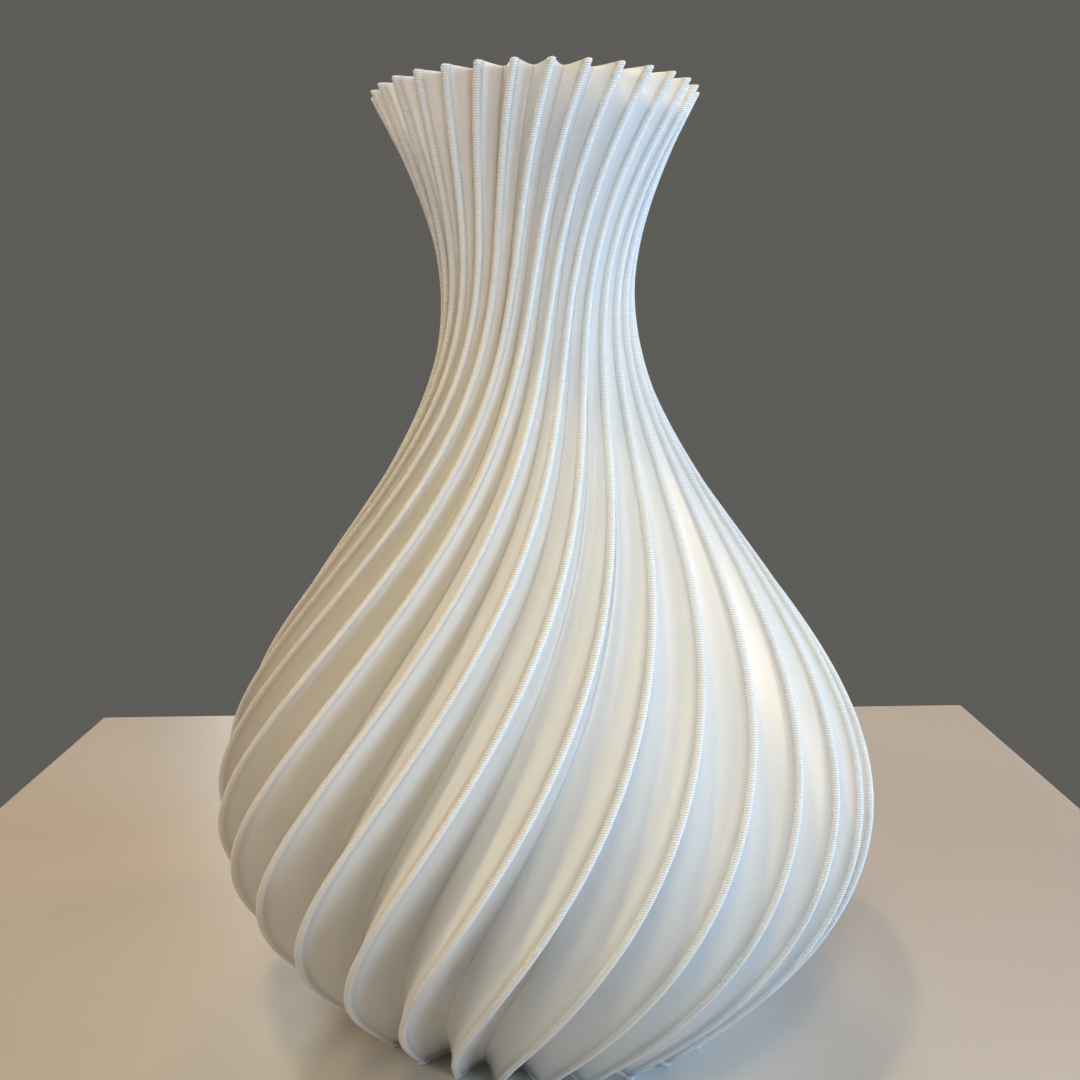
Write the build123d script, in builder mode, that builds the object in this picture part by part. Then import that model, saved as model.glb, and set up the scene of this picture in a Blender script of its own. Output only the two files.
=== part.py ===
"""A tall bottle-shaped vase with a twisted, finely fluted wall, printed as one spiral thread.

The origin is the middle of the foot, where the vase rests, and +Z is up. The outline is a ring
of narrow ridges with a hollow flute between each pair. Its size follows a bottle profile and it
turns steadily with height, so each ridge climbs the wall as a slow helix.
"""

import os
from math import comb, cos, degrees, pi, radians, sin

from build123d import *

# Driving dimensions, in millimetres and degrees.
HEIGHT = 200.0
RIDGES = 31  # around the vase
TWIST = 100.3  # how far the outline turns from foot to rim, anticlockwise seen from above
FIRST_RIDGE = -91.9  # direction of one ridge at the foot
WALL = 0.8  # one printed thread
BEAD = 0.8  # half the width of a ridge's round edge, where the thread folds back on itself
FLOOR = 1.2  # the solid layers under the wall

# The bottle profile: the ridges' radius and height, from the foot to the rim.
PROFILE = (
    (45.0, 0.0),  # foot
    (62.8, 20.0),  # heel
    (74.0, 49.0),  # belly
    (63.4, 80.0),  # shoulder
    (42.2, 110.0),  # waist
    (24.6, 140.0),  # throat
    (21.0, 158.0),  # neck
    (25.2, 180.0),  # collar
    (34.6, HEIGHT),  # rim
)

# How deep a flute is, as a share of the ridges' radius, and how far its lowest line leans
# towards the ridge behind it, as a share of its width. Each pair is (share, height).
DEPTH = ((0.15, 0.0), (0.175, 45.0), (0.15, 90.0), (0.145, 150.0), (0.19, HEIGHT))
LEAN = ((0.10, 0.0), (0.10, 85.0), (0.0, 135.0), (0.0, HEIGHT))

# The wall is one skin on the real vase. Here it is given in bands that meet face to face, from the
# floor plate to the rim, so that each band is simple enough for its collision to follow it.
BANDS = ("heel_wall", "belly_wall", "shoulder_wall", "waist_wall", "neck_wall", "rim_wall")
STEPS = 4  # between the outlines that one band is drawn through

PITCH = 360.0 / RIDGES

# How a flute's curve is held by its controls.
ROUNDING = 1.14  # how far a ridge stays level each way, in BEADs
FACE_PITCHES = 0.11  # how far from a ridge the outer face's control is, in pitches,
FACE_BEADS = 0.54  # and this many BEADs more
FACE_IN = 0.18  # how far in from the ridge that control is, in BEADs,
FACE_OUT = 0.13  # less this share of the flute's depth
FACE_LEAN = 0.8  # a face's control's share of the flute's lean
FULLNESS = 0.95  # the inner face's control's share of the flute's depth


def eased(stations, height):
    """The value at a height, easing smoothly from each (value, height) station to the next."""
    for (low, z_low), (high, z_high) in zip(stations, stations[1:]):
        if height <= z_high:
            part = (height - z_low) / (z_high - z_low)
            return low + (high - low) * (1 - cos(pi * part)) / 2
    return stations[-1][0]


def polar(radius, angle):
    """A point of a section, from its radius and its angle in degrees."""
    return (radius * cos(radians(angle)), radius * sin(radians(angle)))


def flute_curve(angle, edge_radius, controls):
    """One flute as a single curve from the ridge at an angle to the next ridge.

    Each control is (share of the way to the next ridge, distance in from edge_radius).
    """
    Bezier(*[polar(edge_radius - drop, angle + PITCH * across) for across, drop in controls])


def middle_control(goal, *sides):
    """The middle control that brings the middle of a symmetric curve to goal.

    sides are the controls before it. Those after it mirror them.
    """
    degree = 2 * len(sides)
    pull = 2 * sum(comb(degree, place) * side for place, side in enumerate(sides))
    return (2**degree * goal - pull) / comb(degree, len(sides))


def outer_controls(ridge_radius, depth, lean):
    """Controls that keep level at both ends, which makes the ridges round, BEAD each way."""
    bead = degrees(BEAD / ridge_radius) / PITCH
    level = ROUNDING * bead
    face = FACE_PITCHES + FACE_BEADS * bead
    face_drop = FACE_IN * BEAD - FACE_OUT * depth
    face_lean = FACE_LEAN * lean
    low_drop = middle_control(depth, 0, 0, face_drop)
    low_lean = middle_control(lean, 0, 0, face_lean)
    return (
        (0, 0),
        (level, 0),
        (face - face_lean, face_drop),
        (0.5 - low_lean, low_drop),
        (1 - face - face_lean, face_drop),
        (1 - level, 0),
        (1, 0),
    )


def inner_controls(depth, lean):
    """Controls of a fuller hollow, so that it stays one wall away from the outer face."""
    face_drop = FULLNESS * depth
    face_lean = FACE_LEAN * lean
    low_drop = middle_control(depth, 0, face_drop)
    low_lean = middle_control(lean, 0, face_lean)
    return (
        (0, 0),
        (0.25 - face_lean, face_drop),
        (0.5 - low_lean, low_drop),
        (0.75 - face_lean, face_drop),
        (1, 0),
    )


def ridge_radius_at(height):
    """The ridges' radius at a height, found by halving along the profile curve."""
    below, above = 0.0, 1.0
    for _ in range(40):
        middle = (below + above) / 2
        if (profile.line @ middle).Y < height:
            below = middle
        else:
            above = middle
    return (profile.line @ below).X


def ridge_angles(height):
    """The direction of every ridge at a height, in degrees."""
    first = FIRST_RIDGE + TWIST * height / HEIGHT
    return [first + PITCH * ridge for ridge in range(RIDGES)]


def outer_outline(height):
    """The closed outer outline at a height."""
    radius = ridge_radius_at(height)
    controls = outer_controls(radius, radius * eased(DEPTH, height), eased(LEAN, height))
    with BuildLine(Plane.XY.offset(height)) as outline:
        for angle in ridge_angles(height):
            flute_curve(angle, radius, controls)
    return outline.wire()


def inner_outline(height):
    """The closed inner outline at a height. Under a ridge it starts where its faces part."""
    radius = ridge_radius_at(height)
    edge_radius = radius - BEAD - WALL / 3
    low_radius = radius * (1 - eased(DEPTH, height)) - WALL
    controls = inner_controls(edge_radius - low_radius, eased(LEAN, height))
    with BuildLine(Plane.XY.offset(height)) as outline:
        for angle in ridge_angles(height):
            flute_curve(angle, edge_radius, controls)
    return outline.wire()


def wall_band(label, outer, inner):
    """One band of the wall as a closed skin: its outer and inner faces, and a flat ring each end."""
    with BuildPart() as band:
        sides = Shell.make_loft(outer).faces() + Shell.make_loft(inner).faces()
        rings = [Face(outer[end], [inner[end]]) for end in (0, -1)]
        add(Solid(Shell(sides + rings)))
    band.part.label = label
    return band.part


with BuildLine() as profile:
    Spline(*PROFILE)

steps = STEPS * len(BANDS)
levels = [FLOOR + (HEIGHT - FLOOR) * step / steps for step in range(steps + 1)]
outer_outlines = [outer_outline(height) for height in levels]
inner_outlines = [inner_outline(height) for height in levels]

with BuildPart() as floor_plate:
    loft([Face(outer_outline(height)) for height in (0, FLOOR)])
floor_plate.part.label = "floor_plate"

parts = [floor_plate.part]
for number, label in enumerate(BANDS):
    own = slice(STEPS * number, STEPS * (number + 1) + 1)
    parts.append(wall_band(label, outer_outlines[own], inner_outlines[own]))

os.makedirs("parts", exist_ok=True)
for part in parts:
    export_step(part, f"parts/{part.label}.step")
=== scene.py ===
"""A tall white vase, printed in one spiral thread, on a pale table top.

The wall is a ring of round-edged ridges with a hollow flute between each pair. It follows a bottle
profile and turns steadily with height. Lengths are in millimetres until a mesh is made, and
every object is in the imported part's own frame: the middle of the foot is the origin and +Z is up.
"""

from math import cos, radians, sin

import bpy
import numpy as np
from mathutils import Matrix, Vector


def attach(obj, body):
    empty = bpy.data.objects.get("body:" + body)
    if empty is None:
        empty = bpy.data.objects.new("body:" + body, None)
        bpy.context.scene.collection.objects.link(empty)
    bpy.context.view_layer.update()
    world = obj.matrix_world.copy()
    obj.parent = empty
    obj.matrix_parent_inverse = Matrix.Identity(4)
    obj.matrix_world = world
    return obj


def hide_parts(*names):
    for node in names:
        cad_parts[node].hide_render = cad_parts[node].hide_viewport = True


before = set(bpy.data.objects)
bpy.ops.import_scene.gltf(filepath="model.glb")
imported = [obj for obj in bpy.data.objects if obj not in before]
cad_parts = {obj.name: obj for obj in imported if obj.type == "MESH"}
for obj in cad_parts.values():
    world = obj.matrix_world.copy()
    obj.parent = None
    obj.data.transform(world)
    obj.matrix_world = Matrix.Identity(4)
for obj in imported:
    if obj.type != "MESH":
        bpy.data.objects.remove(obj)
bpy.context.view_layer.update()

MM = 0.001  # metres in a millimetre
WALL_BANDS = ("heel_wall", "belly_wall", "shoulder_wall", "waist_wall", "neck_wall", "rim_wall")

# The vase's own sizes, in millimetres and degrees.
HEIGHT = 200.0
RIDGES = 31
TWIST = 100.3  # how far the outline turns from foot to rim
FIRST_RIDGE = -91.9  # direction of one ridge at the foot
WALL = 0.8  # one printed thread
BEAD = 0.8  # half the width of a ridge's round edge
FLOOR = 1.2  # the solid layers under the wall
LAYER = 0.4  # from one printed layer to the next
# The ridges' radius and height, from the foot to the rim.
PROFILE = (
    (45.0, 0.0),
    (62.8, 20.0),
    (74.0, 49.0),
    (63.4, 80.0),
    (42.2, 110.0),
    (24.6, 140.0),
    (21.0, 158.0),
    (25.2, 180.0),
    (34.6, HEIGHT),
)
# A flute's depth as a share of the ridges' radius, and how far its lowest line leans towards the
# ridge behind it as a share of its width. Each pair is (share, height).
DEPTH = ((0.15, 0.0), (0.175, 45.0), (0.15, 90.0), (0.145, 150.0), (0.19, HEIGHT))
LEAN = ((0.10, 0.0), (0.10, 85.0), (0.0, 135.0), (0.0, HEIGHT))

# How finely the wall is drawn.
BEAD_TURNS = (0, 35, 70, 100, 125)  # degrees round the bead from the ridge's tip
FACE_SHARES = (0.05, 0.12, 0.21, 0.31, 0.41, 0.47, 0.5)  # of the way from bead to bead
OUTER_ROWS = 100
INNER_ROWS = 34
CREASE = 0.10  # how far the flute's lowest line is a corner rather than a curve
CREASE_RISE = 0.12  # of the thread's corner that stands up along that line
FULLNESS = 0.95  # the inner face's control's share of the flute's depth

PITCH = 2 * np.pi / RIDGES


def eased(stations, height):
    """Values at heights, easing smoothly from each (value, height) station to the next."""
    value, level = np.array(stations).T
    segment = np.clip(np.searchsorted(level, height) - 1, 0, len(level) - 2)
    part = (height - level[segment]) / (level[segment + 1] - level[segment])
    return value[segment] + (value[segment + 1] - value[segment]) * (1 - np.cos(np.pi * part)) / 2


def smooth_curve(stations, height):
    """Values at heights on the natural cubic curve through (value, height) stations."""
    value, level = np.array(stations).T
    gap = np.diff(level)
    slope = np.diff(value) / gap
    system = np.eye(len(level))
    bend = np.zeros(len(level))
    for i in range(1, len(level) - 1):
        system[i, i - 1 : i + 2] = gap[i - 1], 2 * (gap[i - 1] + gap[i]), gap[i]
        bend[i] = 6 * (slope[i] - slope[i - 1])
    bend = np.linalg.solve(system, bend)
    i = np.clip(np.searchsorted(level, height) - 1, 0, len(gap) - 1)
    before = height - level[i]
    after = level[i + 1] - height
    line = (value[i] * after + value[i + 1] * before) / gap[i]
    curve = bend[i] * (after**3 / gap[i] - gap[i] * after)
    curve += bend[i + 1] * (before**3 / gap[i] - gap[i] * before)
    return line + curve / 6


def flute_columns():
    """For one flute, each column's turn round its bead, share across the face, and side.

    The columns run from one ridge's tip to just before the next. A column is either on a bead
    (share 0) or on the face (turn is the bead's last). side is 1 up to the middle and -1 after it.
    """
    near = [(radians(turn), 0.0, 1) for turn in BEAD_TURNS]
    last = radians(BEAD_TURNS[-1])
    near += [(last, share, 1) for share in FACE_SHARES]
    far = [(turn, share, -1) for turn, share, _ in reversed(near[1:-1])]
    return np.array(near + far).T


TURN, SHARE, SIDE = flute_columns()
COLUMNS = len(TURN)


def outer_rows(height, turn=TURN):
    """The outer face's points at each height, as rows of x, y, z."""
    radius, depth, lean, pitch = section_sizes(height)
    across = BEAD * np.sin(turn)
    drop = BEAD * (1 - np.cos(turn))
    edge = BEAD * np.sin(turn.max())
    face = SHARE > 0
    across = np.where(face, edge + (pitch - 2 * edge) * SHARE, across)
    hollow = (1 - CREASE) * np.sin(np.pi * SHARE) + CREASE * 2 * SHARE
    drop = drop + (depth - drop) * hollow - CREASE_RISE * (SHARE == 0.5)
    across = np.where(SIDE > 0, across, pitch - across)
    across = across - lean * pitch * np.sin(np.pi * across / pitch) * face
    return ring_points(height, radius, drop, across / radius)


def inner_rows(height):
    """The inner face's points at each height, as rows of x, y, z, in the outer face's columns.

    One flute's inner face is a curve of five controls, and its middle is at the full depth.
    """
    radius, depth, lean, pitch = section_sizes(height)
    tip = BEAD + WALL / 3
    share = np.linspace(0, 1, COLUMNS, endpoint=False)
    away = 1 - share
    side = 4 * FULLNESS
    middle = 16 - 2 * side
    full = side * share * away**3 + middle * share**2 * away**2 + side * share**3 * away
    drop = tip + (depth + WALL - tip) * full
    across = share * pitch - lean * pitch * np.sin(np.pi * share)
    return ring_points(height, radius, drop, across / radius)


def section_sizes(height):
    """Columns of the ridge radius, flute depth, lean and ridge spacing at each height."""
    height = height[:, None]
    radius = smooth_curve(PROFILE, height)
    return radius, radius * eased(DEPTH, height), eased(LEAN, height), radius * PITCH


def ring_points(height, radius, drop, angle):
    """One flute's columns repeated round the vase, as an array of rows, columns and x, y, z."""
    rows = len(height)
    start = radians(FIRST_RIDGE) + radians(TWIST) * height / HEIGHT
    ridges = PITCH * np.arange(RIDGES)
    angle = start[:, None, None] + ridges[None, :, None] + angle[:, None, :]
    reach = np.broadcast_to((radius - drop)[:, None, :], angle.shape)
    level = np.broadcast_to(height[:, None, None], angle.shape)
    points = np.stack([reach * np.cos(angle), reach * np.sin(angle), level], axis=-1)
    return points.reshape(rows, -1, 3)


def ring_faces(rows, columns, closed):
    """Quads between neighbouring rows of a ring. A closed ring joins its last row to its first."""
    row = np.arange(rows if closed else rows - 1)[:, None]
    column = np.arange(columns)[None, :]
    above = (row + 1) % rows
    beside = (column + 1) % columns
    corners = [row * columns + column, row * columns + beside]
    corners += [above * columns + beside, above * columns + column]
    return np.stack(corners, axis=-1).reshape(-1, 4).tolist()


def add_mesh(name, points, faces, material):
    """A smooth mesh object from points in millimetres."""
    mesh = bpy.data.meshes.new(name)
    mesh.from_pydata((points * MM).tolist(), [], faces)
    mesh.materials.append(material)
    mesh.shade_smooth()
    thing = bpy.data.objects.new(name, mesh)
    bpy.context.collection.objects.link(thing)
    return thing


def mark(thing, name, values):
    """A number at each point of a mesh, which its material reads."""
    layer = thing.data.attributes.new(name, "FLOAT", "POINT")
    layer.data.foreach_set("value", np.asarray(values, dtype=np.float32).ravel())


# How the lip rounds over the thread: distance below the rim, and share from outer to inner face.
LIP = ((0.35, 0.0), (0.12, 0.12), (0.0, 0.38), (0.0, 0.62), (0.12, 0.88), (0.35, 1.0))
LIP_FOOT = HEIGHT - 0.7  # where the wall's plain faces end and the lip begins

# How much each point of a ridge counts as its round edge, by the turn round it in radians.
BEAD_MARK_TURNS = (0.0, 1.3, 1.8, 2.2)
BEAD_MARKS = (1.0, 1.0, 0.8, 0.3)
# Faint ticked lines that run along the flutes: how strong they are at shares of the face.
CREASE_SHARES = (0.0, 0.21, 0.31, 0.41, 0.47, 0.5)
CREASE_MARKS = (0.0, 0.0, 0.35, 0.0, 0.1, 1.0)
FAR_CREASE = 0.6  # how strong they are on a flute's far side, as a share of its near side


def build_wall(material):
    """The spiral wall as one closed skin: up the outside, over the lip and down the inside."""
    outer_height = np.linspace(FLOOR, LIP_FOOT, OUTER_ROWS)
    inner_height = np.linspace(LIP_FOOT, FLOOR, INNER_ROWS)
    below, share = np.array(LIP).T
    lip_height = HEIGHT - below
    lip_outer = outer_rows(lip_height)
    lip = lip_outer + (inner_rows(lip_height) - lip_outer) * share[:, None, None]
    points = np.concatenate([outer_rows(outer_height), lip, inner_rows(inner_height)])
    rows, columns, _ = points.shape
    wall = add_mesh("vase_wall", points.reshape(-1, 3), ring_faces(rows, columns, True), material)
    bead = np.where(SHARE > 0, 0.0, np.interp(TURN, BEAD_MARK_TURNS, BEAD_MARKS))
    mark(wall, "bead", np.tile(bead, rows * RIDGES))
    # The crease where a ridge's round edge meets the face; the material paints shade along it.
    fold = (TURN == TURN.max()) & (SHARE == 0)
    mark(wall, "fold", np.tile(fold, rows * RIDGES))
    crease = np.interp(SHARE, CREASE_SHARES, CREASE_MARKS) * np.where(SIDE < 0, FAR_CREASE, 1.0)
    mark(wall, "crease", np.tile(crease, rows * RIDGES))
    return wall


# The floor's rings: share of the outline's size, height, and how far its tips stick out where
# the first layer is squashed. The two end rings are capped. A groove follows the bottom's edge.
FLOOR_RINGS = (
    (0.40, FLOOR, 0.0),
    (0.80, FLOOR, 0.0),
    (1.0, FLOOR, 0.0),
    (1.0, 0.8, 0.0),
    (1.004, 0.25, 0.35),
    (1.002, 0.06, 0.35),
    (0.990, 0.0, 0.1),
    (0.966, 0.0, 0.0),
    (0.958, 0.07, 0.0),
    (0.950, 0.0, 0.0),
    (0.80, 0.0, 0.0),
    (0.40, 0.0, 0.0),
)
# The floor's ridges have almost straight sides from this turn on, because further turn counts as
# this share of itself.
UPRIGHT = radians(86)
UPRIGHT_STEP = 0.02


def build_floor(material):
    """The star-shaped bottom layers."""
    share, height, nub = np.array(FLOOR_RINGS).T
    turn = np.where(TURN < UPRIGHT, TURN, UPRIGHT + (TURN - UPRIGHT) * UPRIGHT_STEP)
    points = outer_rows(height, turn)
    tip = np.tile(np.where(SHARE > 0, 0.0, np.maximum(np.cos(TURN), 0.0)), RIDGES)
    grow = share[:, None] + nub[:, None] * tip / PROFILE[0][0]
    points[:, :, :2] *= grow[:, :, None]
    rows, columns, _ = points.shape
    points = points[::-1]
    faces = ring_faces(rows, columns, False)
    faces.append(list(range(columns))[::-1])
    faces.append([(rows - 1) * columns + column for column in range(columns)])
    return add_mesh("vase_floor", points.reshape(-1, 3), faces, material)


class Nodes:
    """Adds nodes to one material, and reads short."""

    def __init__(self, name):
        self.material = bpy.data.materials.new(name)
        self.material.use_nodes = True
        self.tree = self.material.node_tree
        self.shader = self.tree.nodes["Principled BSDF"]

    def add(self, kind, settings=None, **inputs):
        """A node with its settings and inputs. An input is a value or another node's output."""
        made = self.tree.nodes.new(kind)
        for name, value in (settings or {}).items():
            setattr(made, name, value)
        for name, value in inputs.items():
            self.put(made, name.replace("_", " "), value)
        return made

    def put(self, node, name, value):
        """Links or sets one input, which is a name or a number."""
        socket = node.inputs[int(name)] if name.isdigit() else node.inputs[name]
        if isinstance(value, bpy.types.NodeSocket):
            self.tree.links.new(value, socket)
        else:
            socket.default_value = value

    def math(self, operation, *values):
        """The result of an operation on one, two or three values."""
        made = self.add("ShaderNodeMath", {"operation": operation})
        for number, value in enumerate(values):
            self.put(made, str(number), value)
        return made.outputs[0]

    def total(self, *terms):
        """The sum of values, each multiplied by the number or value beside it."""
        result = 0.0
        for value, share in terms:
            result = self.math("MULTIPLY_ADD", value, share, result)
        return result

    def blend(self, factor, low, high):
        """A number between low and high."""
        made = self.add("ShaderNodeMix", {"data_type": "FLOAT"})
        for number, value in ((0, factor), (2, low), (3, high)):
            self.put(made, str(number), value)
        return made.outputs[0]

    def tint(self, factor, low, high):
        """A colour between two colours."""
        made = self.add("ShaderNodeMix", {"data_type": "RGBA"})
        for number, value in ((0, factor), (6, low), (7, high)):
            self.put(made, str(number), value)
        return made.outputs[2]

    def position(self):
        """Where a point is on its object."""
        return self.add("ShaderNodeTexCoord").outputs["Object"]

    def reading(self, name):
        """A number that was marked on the mesh's points."""
        return self.add("ShaderNodeAttribute", {"attribute_name": name}).outputs["Fac"]

    def noise(self, position, scale, detail):
        """Smooth noise from 0 to 1, with about scale waves to a metre."""
        made = self.add("ShaderNodeTexNoise", None, Vector=position, Scale=scale, Detail=detail)
        return made.outputs["Fac"]

    def thread(self, across, square):
        """A round-topped line's height, 0 to 1, from where a point is across it, 0 to 1."""
        centred = self.math("ABSOLUTE", self.math("MULTIPLY_ADD", across, 2.0, -1.0))
        return self.math("SUBTRACT", 1.0, self.math("POWER", centred, square))

    def finish(self, colour, roughness, relief, strength, depth):
        """Connects the shader, with a bump up to depth millimetres high, and gives the material."""
        size = {"Strength": strength, "Distance": depth * MM}
        bump = self.add("ShaderNodeBump", None, Height=relief, **size)
        self.put(self.shader, "Base Color", colour)
        self.put(self.shader, "Roughness", roughness)
        self.put(self.shader, "Normal", bump.outputs["Normal"])
        return self.material


PLASTIC_LIGHT = (0.96, 0.955, 0.95, 1.0)
# The darker end of the plastic's colour: painted shade in gaps and creases, painted highlight
# contrast on the ridges, and random mottling.
PLASTIC_SHADE_AND_MOTTLE = (0.30, 0.285, 0.27, 1.0)


def plastic(nodes):
    """Sets what is the same all over white printed plastic."""
    shader = nodes.shader
    shader.inputs["IOR"].default_value = 1.5
    shader.inputs["Specular IOR Level"].default_value = 0.75
    shader.inputs["Subsurface Weight"].default_value = 0.4
    shader.inputs["Subsurface Radius"].default_value = (1.0, 0.85, 0.7)
    shader.inputs["Subsurface Scale"].default_value = 1.6 * MM


def thread_waves(nodes, position):
    """The spiral layers: where a point is across its layer (0 to 1), and the layer's number."""
    split = nodes.add("ShaderNodeSeparateXYZ", Vector=position)
    turn = nodes.math("ARCTAN2", split.outputs["Y"], split.outputs["X"])
    layers = nodes.math("DIVIDE", split.outputs["Z"], LAYER * MM)
    climb = nodes.math("SUBTRACT", layers, nodes.math("DIVIDE", turn, 2 * np.pi))
    return nodes.math("FRACT", climb), nodes.math("FLOOR", climb)


# The wall's thread: how square its section is, and how far one layer's noise is from the next.
THREAD_SQUARE = 2.4
LAYER_STEP = 3.7
# How high the thread stands on a flute's face, on a ridge's round edge, and how much more along a
# ticked line. The ticked lines stand up by themselves too.
FACE_THREAD = 0.10
BEAD_THREAD = 1.0
CREASE_THREAD = 0.25
CREASE_LINE = 1.2
# How much painted shade darkens the gap beside the thread in the same three places.
FACE_GAP_SHADE = 0.06
BEAD_GAP_SHADE = 0.46
CREASE_GAP_SHADE = 0.30
# How much the other things count, in the relief or in the darkness.
DRIFT_RELIEF = 0.2
GRAIN_RELIEF = 0.05
# Painted shade in the crease where a ridge's round edge meets the face.
FOLD_SHADE = 0.22
# Painted highlight: how much darker the flutes' faces are painted than the ridges' round edges.
BEAD_HIGHLIGHT = 0.08
CLOUD_DARK = 0.08


def wall_plastic():
    """White plastic with a round thread in every layer, and coarser ticks along the ridges."""
    nodes = Nodes("wall_plastic")
    plastic(nodes)
    position = nodes.position()
    across, layer = thread_waves(nodes, position)
    thread = nodes.thread(across, THREAD_SQUARE)
    gap = nodes.math("SUBTRACT", 1.0, thread)
    bead = nodes.reading("bead")
    crease = nodes.reading("crease")
    drift = nodes.add(
        "ShaderNodeTexNoise",
        {"noise_dimensions": "4D"},
        Vector=position,
        W=nodes.math("MULTIPLY", layer, LAYER_STEP),
        Scale=90.0,
        Detail=2.0,
    ).outputs["Fac"]
    height = nodes.blend(bead, FACE_THREAD, BEAD_THREAD)
    height = nodes.total((height, 1.0), (crease, CREASE_THREAD))
    relief = nodes.total(
        (thread, height),
        (crease, CREASE_LINE),
        (drift, DRIFT_RELIEF),
        (nodes.noise(position, 2600.0, 2.0), GRAIN_RELIEF),
    )
    # Painted shade in the gaps between threads, strongest on the ridges' round edges and along the
    # ticked lines.
    gap_shade = nodes.blend(bead, FACE_GAP_SHADE, BEAD_GAP_SHADE)
    gap_shade = nodes.total((gap_shade, 1.0), (crease, CREASE_GAP_SHADE))
    shade_and_mottle = nodes.total(
        (gap, gap_shade),
        # Painted shade in the crease beside each ridge's round edge.
        (nodes.reading("fold"), FOLD_SHADE),
        (nodes.noise(position, 28.0, 3.0), CLOUD_DARK),
        # Painted highlight on the ridges' round edges, by painting the faces darker.
        (nodes.blend(bead, BEAD_HIGHLIGHT, 0.0), 1.0),
    )
    colour = nodes.tint(shade_and_mottle, PLASTIC_LIGHT, PLASTIC_SHADE_AND_MOTTLE)
    roughness = nodes.blend(drift, 0.24, 0.40)
    return nodes.finish(colour, roughness, relief, strength=0.9, depth=0.12)


# The floor's lines side by side: how square they are, and what counts as in the wall's.
LINE_SQUARE = 4.0
LINE_GRAIN_RELIEF = 0.4
# Painted shade in the gaps between the floor's lines.
LINE_GAP_SHADE = 0.4
LINE_CLOUD_DARK = 0.1


def floor_plastic():
    """White plastic laid in straight lines side by side, as on the underside of a print."""
    nodes = Nodes("floor_plastic")
    plastic(nodes)
    position = nodes.position()
    split = nodes.add("ShaderNodeSeparateXYZ", Vector=position)
    slant = nodes.math("ADD", split.outputs["X"], split.outputs["Y"])
    lines = nodes.math("DIVIDE", slant, 2**0.5 * WALL * MM)
    line = nodes.thread(nodes.math("FRACT", lines), LINE_SQUARE)
    gap = nodes.math("SUBTRACT", 1.0, line)
    grain = nodes.noise(position, 900.0, 3.0)
    relief = nodes.total((line, 1.0), (grain, LINE_GRAIN_RELIEF))
    cloud = nodes.noise(position, 28.0, 3.0)
    # Painted shade in the gaps between lines, and random mottling.
    shade_and_mottle = nodes.total((gap, LINE_GAP_SHADE), (cloud, LINE_CLOUD_DARK))
    colour = nodes.tint(shade_and_mottle, PLASTIC_LIGHT, PLASTIC_SHADE_AND_MOTTLE)
    roughness = nodes.blend(grain, 0.3, 0.5)
    return nodes.finish(colour, roughness, relief, strength=0.7, depth=0.08)


TABLE_DARK = (0.53, 0.50, 0.46, 1.0)
TABLE_PALE = (0.59, 0.555, 0.515, 1.0)


def table_paint():
    """Pale matt paint with faint unevenness."""
    nodes = Nodes("table_paint")
    position = nodes.position()
    cloud = nodes.noise(position, 12.0, 4.0)
    grain = nodes.noise(position, 700.0, 2.0)
    colour = nodes.tint(cloud, TABLE_DARK, TABLE_PALE)
    roughness = nodes.blend(cloud, 0.35, 0.5)
    return nodes.finish(colour, roughness, grain, strength=0.2, depth=0.05)


# The table top: its size and where its middle is.
TABLE_SIZE = (352.0, 380.0, 20.0)
TABLE_MIDDLE = (-5.0, 0.0, -10.0)
TABLE_EDGE = 1.5


def build_table():
    """A pale slab for the vase to stand on, with its edges taken off."""
    bpy.ops.mesh.primitive_cube_add(size=1, location=Vector(TABLE_MIDDLE) * MM)
    table = bpy.context.object
    table.name = "table_top"
    table.scale = Vector(TABLE_SIZE) * MM
    bpy.ops.object.transform_apply(location=False, rotation=False, scale=True)
    edge = table.modifiers.new("edge", "BEVEL")
    edge.width = TABLE_EDGE * MM
    edge.segments = 3
    table.data.materials.append(table_paint())


# Where the lights point and how far off they are. Then each light's name, side length, watts,
# colour, and direction: degrees round from the front towards the right, and degrees up.
LIGHT_TARGET = (0.0, 0.0, 80.0)
LIGHT_REACH = 1000.0
LIGHTS = (
    ("window", 300, 7.4, (0.34, 0.66, 1.0), 80, 8),
    ("window_front", 300, 3.7, (0.54, 0.77, 1.0), 42, 10),
    ("bounce_front", 300, 2.6, (0.94, 0.96, 1.0), 12, -25),
    ("lamp_front", 200, 2.6, (1.0, 0.78, 0.42), 2, 55),
    ("lamp_left", 90, 2.2, (1.0, 0.75, 0.42), -50, 75),
    ("sky_left", 300, 1.8, (1.0, 0.90, 0.66), -62, 30),
    ("glow_left", 300, 1.4, (1.0, 0.55, 0.28), -90, 8),
    ("glow_right", 150, 2.4, (1.0, 0.55, 0.22), 108, 22),
    ("lamp_back", 200, 1.1, (1.0, 0.56, 0.30), 180, 55),
    ("sky_back", 300, 2.6, (0.80, 0.90, 1.0), 190, 15),
)


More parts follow.
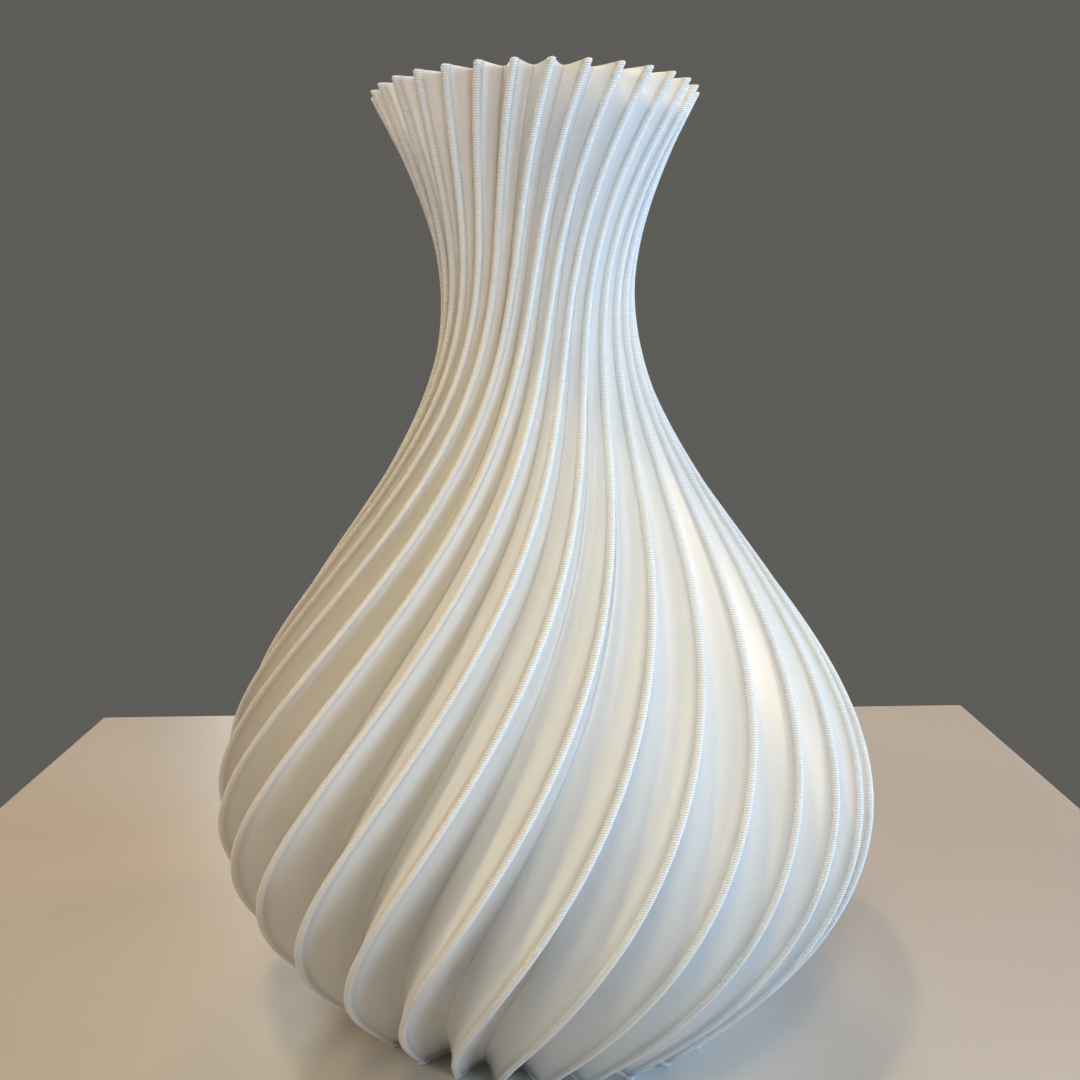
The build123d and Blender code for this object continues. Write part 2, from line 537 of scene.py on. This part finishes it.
def add_light(name, side, watts, colour, round_angle, up_angle):
    """A square soft light that points at the vase."""
    data = bpy.data.lights.new(name, "AREA")
    data.size = side * MM
    data.color = colour
    data.energy = watts
    lamp = bpy.data.objects.new(name, data)
    level = cos(radians(up_angle))
    away = Vector(
        (
            level * sin(radians(round_angle)),
            -level * cos(radians(round_angle)),
            sin(radians(up_angle)),
        )
    )
    lamp.location = (Vector(LIGHT_TARGET) + LIGHT_REACH * away) * MM
    lamp.rotation_euler = away.to_track_quat("Z", "Y").to_euler()
    bpy.context.collection.objects.link(lamp)


ROOM_COLOUR = (0.112, 0.108, 0.098, 1.0)


def light_room():
    """A plain grey room and its soft lights."""
    bpy.context.scene.view_settings.view_transform = "Standard"
    world = bpy.data.worlds.new("room")
    world.use_nodes = True
    world.node_tree.nodes["Background"].inputs["Color"].default_value = ROOM_COLOUR
    bpy.context.scene.world = world
    for light in LIGHTS:
        add_light(*light)


# The camera stands in front of the vase and looks along +Y, a little down.
CAMERA_PLACE = (0.0, -247.3, 149.8)
CAMERA_DOWN = 10.23
CAMERA_LEFT = 0.08
CAMERA_ROLL = 0.863
LENS = 37.15  # on Blender's usual sensor, 36 wide
CLIP_START = 10.0


def add_camera():
    """The camera at the vase's height, tilted down and rolled slightly."""
    data = bpy.data.cameras.new("camera")
    data.lens = LENS
    data.clip_start = CLIP_START * MM
    camera = bpy.data.objects.new("camera", data)
    turn = Matrix.Rotation(radians(CAMERA_LEFT), 4, "Z")
    tilt = Matrix.Rotation(radians(90 - CAMERA_DOWN), 4, "X")
    roll = Matrix.Rotation(radians(-CAMERA_ROLL), 4, "Z")
    camera.matrix_world = Matrix.Translation(Vector(CAMERA_PLACE) * MM) @ turn @ tilt @ roll
    bpy.context.collection.objects.link(camera)
    bpy.context.scene.camera = camera


wall = build_wall(wall_plastic())
floor = build_floor(floor_plastic())
for piece, nodes, slot in (
    (wall, WALL_BANDS, "wall_plastic"),
    (floor, ("floor_plate",), "floor_plastic"),
):
    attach(piece, "root")
    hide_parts(*nodes)

build_table()
light_room()
add_camera()
